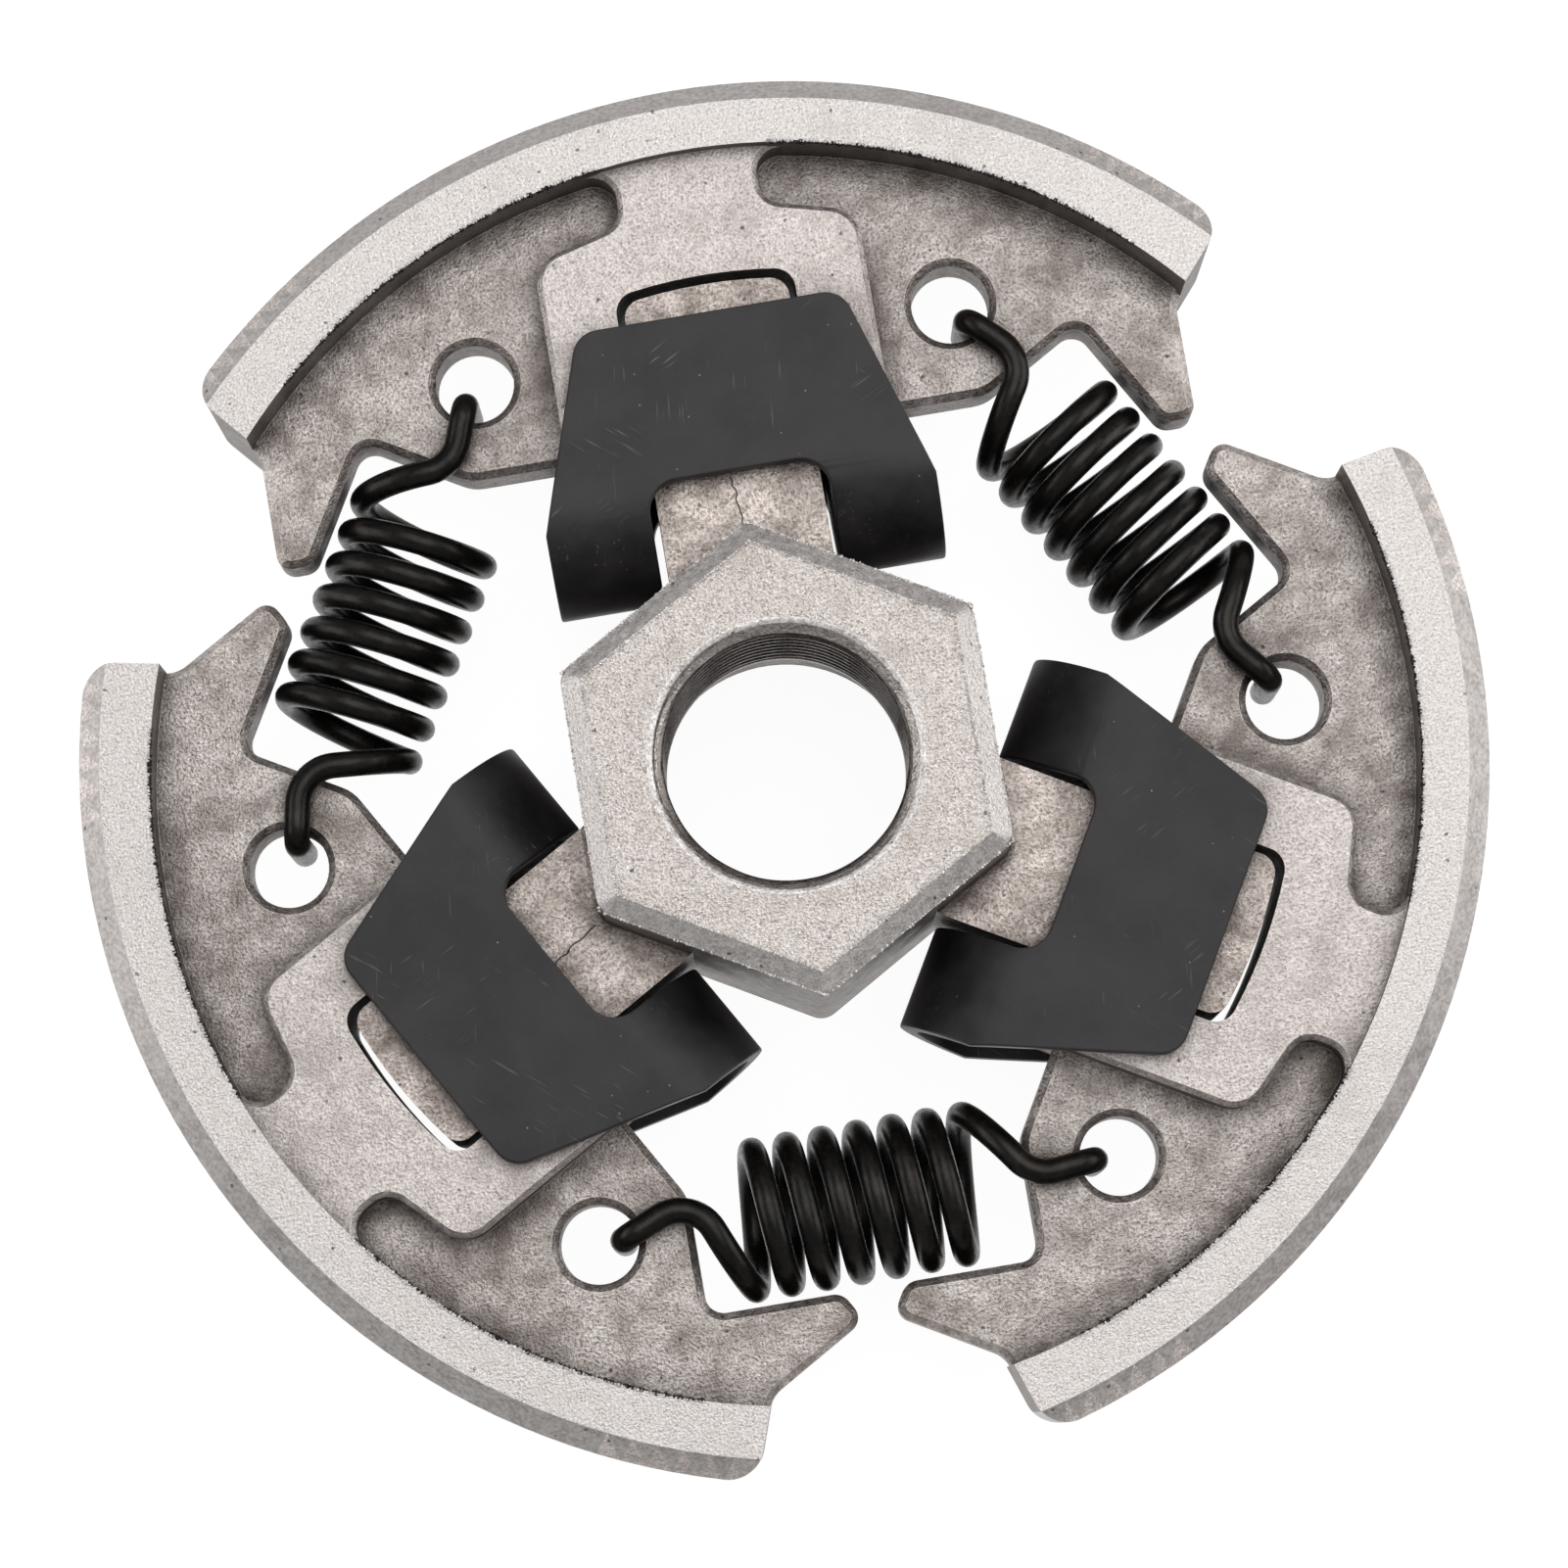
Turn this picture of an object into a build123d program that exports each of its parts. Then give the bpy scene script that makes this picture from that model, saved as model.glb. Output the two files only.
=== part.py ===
from build123d import *
import os
from math import asin, atan2, cos, degrees, hypot, pi, radians, sin, tan

# Three-shoe centrifugal clutch of a chainsaw, in millimetres.
#
# The hub stands on its flat back face with its hexagon up: the origin is on the bore's axis at that face, and
# +Z points to the side that the spanner comes from. Three arms leave the hexagon's corners. On each rides a
# shoe, held by a folded sheet retainer, and three tension springs pull the shoes inwards.
#
# Every shoe, retainer and arm is drawn in its own arm frame: +X runs outwards along the arm and +Y across it.
# Heights are measured from the shoes' middle plane until a piece is placed.

# Hub: a hexagon with a threaded bore
hex_across_flats = 19.0
hub_height = 16.5
hex_corner_radius = 1.0
hex_front_chamfer = 0.9
hex_back_chamfer = 0.5
thread_diameter = 12.0
thread_pitch = 1.0
thread_end_depth = 8.7
# A metric thread's minor diameter is this many pitches less than its outer one, and is bored a little larger
thread_depth_ratio = 1.0825
thread_bore_allowance = 0.2
countersink_diameter = 12.6
counterbore_diameter = 12.8

# Arms of the hub
arm_count = 3
first_arm_angle = 90.0
shoe_level = 8.1
arm_width = 7.7
arm_thickness = 7.0
arm_to_rim = 6.2
arm_corner_radius = 0.9
arm_root_fillet = 0.7

# Shoe: a thick rim, a thin web with a horn at each end, and a raised boss round the arm
rim_height = 9.0
rim_outer_radius = 33.3
rim_thickness = 3.1
rim_bevel = 1.05
lift_to_drum = 1.1
end_face_angle = 131.0
end_face_offset = 4.03
end_corner_radius = 1.6
end_root_radius = 1.4
web_thickness = 3.1
web_edge_chamfer = 0.35
web_inner_edge_ratio = 0.5481
web_inner_corner_radius = 2.0
web_pocket_radius = 0.9
horn_gap = 1.39
horn_tip_width = 1.59
horn_tip_radius = 0.85
horn_tip_back_radius = 0.7
boss_thickness = 7.4
boss_width = 15.2
boss_shoulder_to_rim = 3.9
boss_neck_length = 2.8
boss_neck_width = 6.6
boss_corner_radius = 1.6
boss_edge_chamfer = 0.25
pocket_end_radius = 1.15
leg_end_to_hub = 2.63
arm_side_clearance = 0.35
arm_end_clearance = 0.4
slot_corner_radius = 1.0

# Retainer: one folded sheet clip round the inner ends of a boss's two legs
sheet_thickness = 0.9
retainer_clearance = 0.05
retainer_width = 18.2
retainer_taper_offset = -1.3
retainer_edge_to_shoulder = 3.8
retainer_outer_width = 12.4
retainer_corner_radius = 1.3
retainer_notch_offset = 0.3
retainer_notch_radius = 1.4

# Springs: each lies along a straight line between holes of two neighbouring shoes. The line keeps a share of the
# rim's inner radius from the bore's axis, and the angle is a hole's from the line's middle, seen from that axis.
spring_line_ratio = 0.6866
spring_hole_angle = 31.2
spring_hole_diameter = 3.65
spring_hole_chamfer = 0.35
spring_wire_diameter = 1.2
spring_coil_radius = 3.2
spring_free_turns = 6.5
arcs_per_turn_count = 8
spring_clearance = 0.1
spring_side_gap = 0.24
spring_end_gap = 1.8
hook_span = 6.77
hook_bend_radius = 0.9
hook_end_reach = 0.7
hook_turn_radius = 1.8
# The hooks are not bent alike: how far each one leans away from its coil, in degrees, first and last hook
hook_leans = ((32.0, 28.0), (22.0, 35.0), (32.0, 26.0))

# Sizes that follow from the ones above
thread_minor_diameter = thread_diameter - thread_depth_ratio * thread_pitch + thread_bore_allowance
hex_corner_distance = hex_across_flats / 2 / cos(radians(30))
rim_centre = -lift_to_drum
rim_inner_radius = rim_outer_radius - lift_to_drum - rim_thickness
half_pitch_angle = 180.0 / arm_count
arm_reach = rim_inner_radius - arm_to_rim
web_inner_edge = web_inner_edge_ratio * rim_inner_radius
boss_shoulder_reach = rim_inner_radius - boss_shoulder_to_rim
boss_neck_reach = rim_inner_radius - boss_neck_length
leg_end_centre = hex_corner_distance + leg_end_to_hub
retainer_outer_edge = boss_shoulder_reach - retainer_edge_to_shoulder
retainer_straight_end = leg_end_centre + retainer_taper_offset
retainer_notch_end = leg_end_centre + retainer_notch_offset
slot_half_width = arm_width / 2 + arm_side_clearance
slot_reach = arm_reach + arm_end_clearance
retainer_inner_radius = boss_thickness / 2 + retainer_clearance
retainer_outer_radius = retainer_inner_radius + sheet_thickness
wire_radius = spring_wire_diameter / 2
spring_line_distance = spring_line_ratio * rim_inner_radius
spring_hole_spacing = 2 * spring_line_distance * tan(radians(spring_hole_angle))
spring_pitch = (spring_hole_spacing - 2 * hook_span) / spring_free_turns
coil_half_length = spring_pitch * spring_free_turns / 2
coil_outer_radius = spring_coil_radius + wire_radius
horn_edge_distance = spring_line_distance + coil_outer_radius + spring_side_gap
spring_pocket_half_length = coil_half_length + wire_radius + spring_end_gap
spring_level = web_thickness / 2 + wire_radius + spring_clearance - spring_coil_radius
# The horn ends where it leaves half of the horns' gap to the line between two shoes
horn_tip_reach = horn_edge_distance * cos(radians(half_pitch_angle))
horn_tip_reach += horn_gap / 2 * sin(radians(half_pitch_angle))
horn_tip_reach += horn_tip_width / 2 * sin(radians(2 * half_pitch_angle))

# Helpers of the modelling itself: how far web and boss run into the rim, and how level a level edge is
rim_overlap = 1.0
level_tolerance = 1e-4


def polar(distance, angle):
    """Point at a distance and angle, in degrees, from the origin."""
    return Vector(distance * cos(radians(angle)), distance * sin(radians(angle)))


def crossing(angle_a, offset_a, angle_b, offset_b):
    """Point where two lines cross, each given by its normal's angle and its distance from the origin."""
    turn = sin(radians(angle_b - angle_a))
    x = (offset_a * sin(radians(angle_b)) - offset_b * sin(radians(angle_a))) / turn
    y = (offset_b * cos(radians(angle_a)) - offset_a * cos(radians(angle_b))) / turn
    return Vector(x, y)


def rounded(sketch, radius, *corners):
    """Round the corners of a sketch that lie nearest the given points."""
    picked = [min(sketch.vertices(), key=lambda v: (Vector(v.X, v.Y) - c).length) for c in corners]
    return fillet(picked, radius)


def mirrored(point):
    """The same point on the other side of the arm."""
    return Vector(point.X, -point.Y)


def plate(sketch, thickness):
    """Solid of a given thickness, centred on the sketch's plane."""
    return extrude(sketch, thickness / 2, both=True)


def level_edges(solid, height):
    """Edges of a solid that lie flat at a height."""
    return solid.edges().filter_by(lambda e: abs(e.bounding_box().min.Z - height) < level_tolerance
                                   and abs(e.bounding_box().max.Z - height) < level_tolerance)


def broken(solid, size, thickness):
    """Chamfer every edge of both faces of a flat plate that lies about its middle plane."""
    return chamfer(level_edges(solid, thickness / 2) + level_edges(solid, -thickness / 2), size)


def on_arm(index, shape, height=shoe_level):
    """Turn a shape from its arm frame to arm number index and lift it to a height."""
    return Pos(0, 0, height) * Rot(0, 0, first_arm_angle - index * 360.0 / arm_count) * shape


def slot_face(half_width, reach, corner_radius):
    """Bar along +X from the bore's axis, with an end that is an arc about that axis."""
    bar = Pos(reach / 2, 0) * Rectangle(reach, 2 * half_width) & Circle(reach)
    corner = Vector((reach ** 2 - half_width ** 2) ** 0.5, half_width)
    return rounded(bar, corner_radius, corner, mirrored(corner))


def bore_tool():
    """What is cut from the hub: counterbore from the back, thread core, countersink at the front."""
    core = thread_minor_diameter / 2
    back = counterbore_diameter / 2
    front = countersink_diameter / 2
    thread_end = hub_height - thread_end_depth
    profile = Polygon((0, 0), (back, 0), (back, thread_end - (back - core)), (core, thread_end),
                      (core, hub_height - (front - core)), (front, hub_height), (0, hub_height), align=None)
    return revolve(Plane.XZ * profile, Axis.Z)


def make_carrier():
    """Hub and arms, pressed and sintered in one piece."""
    hexagon = RegularPolygon(hex_across_flats / 2, 6, major_radius=False, rotation=first_arm_angle)
    hub = extrude(fillet(hexagon.vertices(), hex_corner_radius), hub_height)
    hub = chamfer(level_edges(hub, hub_height), hex_front_chamfer)
    hub = chamfer(level_edges(hub, 0), hex_back_chamfer)
    arm = plate(slot_face(arm_width / 2, arm_reach, arm_corner_radius), arm_thickness)
    for index in range(arm_count):
        hub += on_arm(index, arm)
    roots = [edge for side in (-1, 1) for edge in level_edges(hub, shoe_level + side * arm_thickness / 2)
             if hypot(edge.center().X, edge.center().Y) < hex_corner_distance]
    return fillet(roots, arm_root_fillet) - bore_tool()


def shoe_outline():
    """Whole plan outline of a shoe: rim, web and horns, with no slot or holes."""
    normal = half_pitch_angle
    inner = crossing(0, web_inner_edge, normal - 90, spring_pocket_half_length)
    pocket = crossing(normal - 90, spring_pocket_half_length, normal, horn_edge_distance)
    tip = crossing(normal, horn_edge_distance, 0, horn_tip_reach)
    tip_back = tip + Vector(0, horn_tip_width)
    root = crossing(90, tip_back.Y, end_face_angle, end_face_offset)
    offset = end_face_offset - rim_centre * cos(radians(end_face_angle))
    along = (rim_outer_radius ** 2 - offset ** 2) ** 0.5
    end = Vector(rim_centre, 0) + polar(offset, end_face_angle) + polar(along, end_face_angle - 90)
    half = [inner, pocket, tip, tip_back, root, end]
    far = [mirrored(point) for point in half]
    edge = Polyline(*reversed(half), *far)
    arc = ThreePointArc(far[-1], Vector(rim_centre + rim_outer_radius, 0), end)
    outline = make_face(edge + arc)
    for radius, corner in ((web_inner_corner_radius, inner), (web_pocket_radius, pocket),
                           (horn_tip_radius, tip), (horn_tip_back_radius, tip_back),
                           (end_root_radius, root), (end_corner_radius, end)):
        outline = rounded(outline, radius, corner, mirrored(corner))
    return outline


def hole_places():
    """Centres of a shoe's two spring holes."""
    corner = crossing(half_pitch_angle, spring_line_distance, half_pitch_angle - 90, spring_hole_spacing / 2)
    return corner, mirrored(corner)


def rim_pocket():
    """Recess beside the boss and its neck, which ends in a round between the neck and the rim."""
    shoulder = Vector(boss_shoulder_reach, boss_width / 2)
    neck = Vector(boss_neck_reach, boss_neck_width / 2)
    foot = Vector((rim_inner_radius ** 2 - neck.Y ** 2) ** 0.5, neck.Y)
    outside = Polygon((0, shoulder.Y), shoulder, neck, (rim_outer_radius, neck.Y),
                      (rim_outer_radius, rim_outer_radius), (0, rim_outer_radius), align=None)
    pocket = outside & Circle(rim_inner_radius)
    pocket = rounded(pocket, boss_corner_radius, shoulder)
    pocket = rounded(pocket, pocket_end_radius, neck)
    return rounded(pocket, pocket_end_radius, foot)


def boss_face():
    """Raised boss: two legs beside the arm, a shoulder above its end and a neck that runs into the rim."""
    reach = rim_inner_radius + rim_overlap
    whole = Circle(reach) & Pos(reach / 2, 0) * Rectangle(reach, 4 * boss_width)
    pocket = rim_pocket()
    return whole - pocket - mirror(pocket, about=Plane.XZ)


def rim_blank():
    """Turned disc with bevelled edges, about the centre of the rim's outer arc, that a rim is cut from."""
    half = rim_height / 2
    flat = rim_outer_radius - rim_bevel
    profile = Polygon((0, -half), (flat, -half), (rim_outer_radius, rim_bevel - half),
                      (rim_outer_radius, half - rim_bevel), (flat, half), (0, half), align=None)
    return Pos(rim_centre, 0) * revolve(Plane.XZ * profile, Axis.Z)


def make_shoe():
    """One shoe in its arm frame, about its middle plane."""
    outline = shoe_outline()
    rim = plate(outline - Circle(rim_inner_radius), rim_height) & rim_blank()
    inside_rim = Circle(rim_inner_radius + rim_overlap)
    web = broken(plate(outline & inside_rim, web_thickness), web_edge_chamfer, web_thickness)
    boss = broken(plate(boss_face(), boss_thickness), boss_edge_chamfer, boss_thickness)
    leg_length = Pos(rim_outer_radius / 2, 0) * Rectangle(rim_outer_radius, boss_thickness)
    leg_side = Circle(boss_thickness / 2) + leg_length
    boss &= extrude(Plane.XZ * Pos(leg_end_centre, 0) * leg_side, boss_width, both=True)
    shoe = rim + web + boss
    shoe -= plate(slot_face(slot_half_width, slot_reach, slot_corner_radius), rim_height)
    for place in hole_places():
        shoe -= Pos(place.X, place.Y) * hole_tool()
    return shoe


def hole_tool():
    """Spring hole through the web, countersunk on both faces."""
    radius = spring_hole_diameter / 2
    mouth = radius + spring_hole_chamfer
    half = web_thickness / 2
    profile = Polygon((0, -half), (mouth, -half), (radius, spring_hole_chamfer - half),
                      (radius, half - spring_hole_chamfer), (mouth, half), (0, half), align=None)
    return revolve(Plane.XZ * profile, Axis.Z)


def make_retainer():
    """One retainer in its arm frame: sheet folded over the legs' round ends, with a notch for the arm."""
    leaf = retainer_outer_edge - leg_end_centre
    side = Circle(retainer_outer_radius) + Pos(leaf / 2, 0) * Rectangle(leaf, 2 * retainer_outer_radius)
    side -= Circle(retainer_inner_radius) + Pos(leaf / 2, 0) * Rectangle(leaf, 2 * retainer_inner_radius)
    fold = extrude(Plane.XZ * Pos(leg_end_centre, 0) * side, retainer_width / 2, both=True)
    corner = Vector(retainer_outer_edge, retainer_outer_width / 2)
    bend = Vector(retainer_straight_end, retainer_width / 2)
    half = [Vector(0, retainer_width / 2), bend, corner]
    plan = Polygon(*half, *[mirrored(point) for point in reversed(half)], align=None)
    plan = rounded(plan, retainer_corner_radius, corner, mirrored(corner))
    notch_corner = Vector(retainer_notch_end, slot_half_width)
    notch = Pos(retainer_notch_end / 2, 0) * Rectangle(retainer_notch_end, 2 * slot_half_width)
    plan -= rounded(notch, retainer_notch_radius, notch_corner, mirrored(notch_corner))
    return fold & plate(plan, hub_height)


def coil_point(turns):
    """Centre of the wire after a number of turns, counted from the middle of the spring's back side."""
    angle = 270.0 + 360.0 * turns
    return Vector(spring_coil_radius * cos(radians(angle)), spring_coil_radius * sin(radians(angle)),
                  spring_pitch * turns)


def coil_path():
    """Centre line of the coil, as short arcs through points of the helix."""
    count = round(2 * arcs_per_turn_count * spring_free_turns)
    points = [coil_point((step / count - 0.5) * spring_free_turns) for step in range(count + 1)]
    return [ThreePointArc(*points[step:step + 3]) for step in range(0, count, 2)]


def wire_bend(start, before, after, radius):
    """Arc that turns the wire from one direction to another."""
    turn = radians(before.get_angle(after))
    side = (after - before * before.dot(after)).normalized()
    stops = [before * sin(part) + side * (1 - cos(part)) for part in (turn / 2, turn)]
    return ThreePointArc(start, *[start + stop * radius for stop in stops])


def level_direction(angle):
    """Level direction in the spring's frame, turned from the hub's side towards the first hook."""
    return Vector(cos(radians(angle)), 0, -sin(radians(angle)))


def hook_path(lean):
    """Centre line from the coil's first end over the web and down through the hole, in the spring's frame."""
    start = coil_point(-spring_free_turns / 2)
    rising = Vector(0, 2 * pi * spring_coil_radius, -spring_pitch).normalized()
    crossing_over = level_direction(lean)
    pull = rising.dot(crossing_over)
    # The rise is as high as the coil's radius, which sets the radius of this first bend
    lift_radius = spring_coil_radius * (1 - pull ** 2) ** 0.5 / (rising.Y * (1 - pull))
    lift = wire_bend(start, rising, crossing_over, lift_radius)
    seat = Vector(0, spring_coil_radius, spring_hole_diameter / 2 - spring_hole_spacing / 2
                  - wire_radius - spring_clearance)
    centre = lift @ 1 + level_direction(lean + 90) * hook_turn_radius
    reach = seat - centre
    heading = degrees(atan2(-reach.Z, reach.X) + asin(hook_turn_radius / reach.length))
    run = level_direction(heading)
    turn = wire_bend(lift @ 1, crossing_over, run, hook_turn_radius)
    drop_start = seat - run * hook_bend_radius
    drop = wire_bend(drop_start, run, Vector(0, -1, 0), hook_bend_radius)
    tail = Line(drop @ 1, drop @ 1 - Vector(0, web_thickness + hook_end_reach, 0))
    return [lift, turn, Line(turn @ 1, drop_start), drop, tail]


def make_spring(leans):
    """Tension spring in its own frame: +Z along its axis, +X to the hub and +Y up."""
    first, last = [hook_path(lean) for lean in leans]
    wire = Wire(first[::-1] + coil_path() + [Rot(180, 0, 180) * piece for piece in last])
    return sweep(Plane(origin=wire @ 0, z_dir=wire % 0) * Circle(wire_radius), path=wire)


def place_spring(index, spring):
    """Lay a spring along its line between shoe number index and the next."""
    angle = first_arm_angle - (index + 0.5) * 360.0 / arm_count
    inwards = polar(-1, angle)
    centre = polar(spring_line_distance, angle) + Vector(0, 0, shoe_level + spring_level)
    return Plane(origin=centre, x_dir=inwards, z_dir=inwards.cross(Vector(0, 0, 1))).location * spring


def main():
    """Write one file for each piece of the clutch."""
    os.makedirs("parts", exist_ok=True)
    export_step(make_carrier(), "parts/carrier.step")
    shoe = make_shoe()
    retainer = make_retainer()
    for index in range(arm_count):
        export_step(on_arm(index, shoe), f"parts/shoe_{index + 1}.step")
        export_step(on_arm(index, retainer), f"parts/retainer_{index + 1}.step")
        spring = place_spring(index, make_spring(hook_leans[index % len(hook_leans)]))
        export_step(spring, f"parts/spring_{index + 1}.step")


if __name__ == "__main__":
    main()
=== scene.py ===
"""Looks of a three-shoe centrifugal saw clutch, laid on its back with the hexagon up.

Every piece is in metres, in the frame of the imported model: the origin is on the bore's axis at the hub's back
face and +Z runs to the hexagon's front. Sizes in this file are in millimetres until a mesh is written.
"""

import logging
import math
import random
from dataclasses import dataclass
from enum import Enum
from typing import Iterable, Optional, Sequence, Union

import bmesh
import bpy
from mathutils import Matrix, Vector


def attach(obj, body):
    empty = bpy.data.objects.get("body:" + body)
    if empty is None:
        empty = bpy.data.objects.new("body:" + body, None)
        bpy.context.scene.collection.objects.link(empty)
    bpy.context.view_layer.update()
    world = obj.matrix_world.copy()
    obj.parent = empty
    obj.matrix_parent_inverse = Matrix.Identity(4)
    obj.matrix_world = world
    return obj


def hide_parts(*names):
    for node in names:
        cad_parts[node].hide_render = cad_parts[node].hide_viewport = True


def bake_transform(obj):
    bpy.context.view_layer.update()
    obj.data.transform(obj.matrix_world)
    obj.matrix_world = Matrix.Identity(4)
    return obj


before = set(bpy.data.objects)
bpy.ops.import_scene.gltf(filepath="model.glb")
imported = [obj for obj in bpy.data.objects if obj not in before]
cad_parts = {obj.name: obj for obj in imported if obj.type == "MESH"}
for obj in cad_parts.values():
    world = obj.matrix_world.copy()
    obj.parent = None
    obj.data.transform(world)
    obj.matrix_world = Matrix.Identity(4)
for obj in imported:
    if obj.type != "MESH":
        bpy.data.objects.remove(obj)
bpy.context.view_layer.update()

MM = 0.001
CM = 0.01
LOG = logging.getLogger("clutch")
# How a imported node's triangles become whole faces again: points nearer than this are one point, and faces that
# meet at less than this angle are one face
WELD_MM = 0.002
FLAT_ANGLE = 0.4
# Edges that turn by more than these angles are rounded, or stay sharp in the shading
BEVEL_ANGLE = 24.0
SHARP_ANGLE = 50.0
# Half the angle that one side of the hexagon takes up, seen from the bore
HEX_HALF_SIDE = math.radians(30.0)

Socket = bpy.types.NodeSocket
Value = Union[float, int, bool, Sequence[float], Socket, bpy.types.Node]


def linear(code: str) -> tuple[float, float, float, float]:
    """Turn an sRGB hex colour to linear light.

    Args:
        code: six hex digits, with or without a leading hash.

    Returns:
        Red, green, blue and an alpha of 1.
    """
    digits = code.lstrip("#")
    parts = [int(digits[i:i + 2], 16) / 255.0 for i in (0, 2, 4)]
    return tuple(c / 12.92 if c <= 0.04045 else ((c + 0.055) / 1.055) ** 2.4 for c in parts) + (1.0,)


def add_node(tree: bpy.types.NodeTree, kind: str, inputs: Optional[dict[Union[str, int], Value]] = None,
             **settings: object) -> bpy.types.Node:
    """Add a node with its settings, and fill or link its inputs.

    Args:
        tree: node tree that gets the node.
        kind: the node's type name.
        inputs: input name or number, and the value, the output socket or the node that feeds it; a node feeds it
            by its first output.
        settings: the node's own attributes.

    Returns:
        The new node.
    """
    node = tree.nodes.new(kind)
    for name, setting in settings.items():
        setattr(node, name, setting)
    for name, value in (inputs or {}).items():
        socket = node.inputs[name]
        if isinstance(value, bpy.types.Node):
            value = value.outputs[0]
        if isinstance(value, bpy.types.NodeSocket):
            tree.links.new(value, socket)
        else:
            socket.default_value = value
    return node


def new_material(name: str) -> tuple[bpy.types.Material, bpy.types.NodeTree, bpy.types.Node, Socket]:
    """Empty material with its shader.

    Args:
        name: the material's name.

    Returns:
        The material, its node tree, its shader node and the object's coordinates.
    """
    material = bpy.data.materials.new(name)
    material.use_nodes = True
    tree = material.node_tree
    tree.nodes.clear()
    shader = add_node(tree, "ShaderNodeBsdfPrincipled")
    add_node(tree, "ShaderNodeOutputMaterial", {"Surface": shader})
    where = add_node(tree, "ShaderNodeTexCoord").outputs["Object"]
    return material, tree, shader, where


@dataclass(frozen=True)
class Mottle:
    """One cloudy pattern of a finish.

    Attributes:
        lump_mm: size of one lump of the pattern.
        detail: octaves of finer lumps.
        rough: how strong the finer octaves are, from 0 to 1.
        shift_cm: how far the pattern is shifted, so that two patterns of one finish don't line up.
    """

    lump_mm: float
    detail: float
    rough: float = 0.5
    shift_cm: float = 0.0


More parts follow.
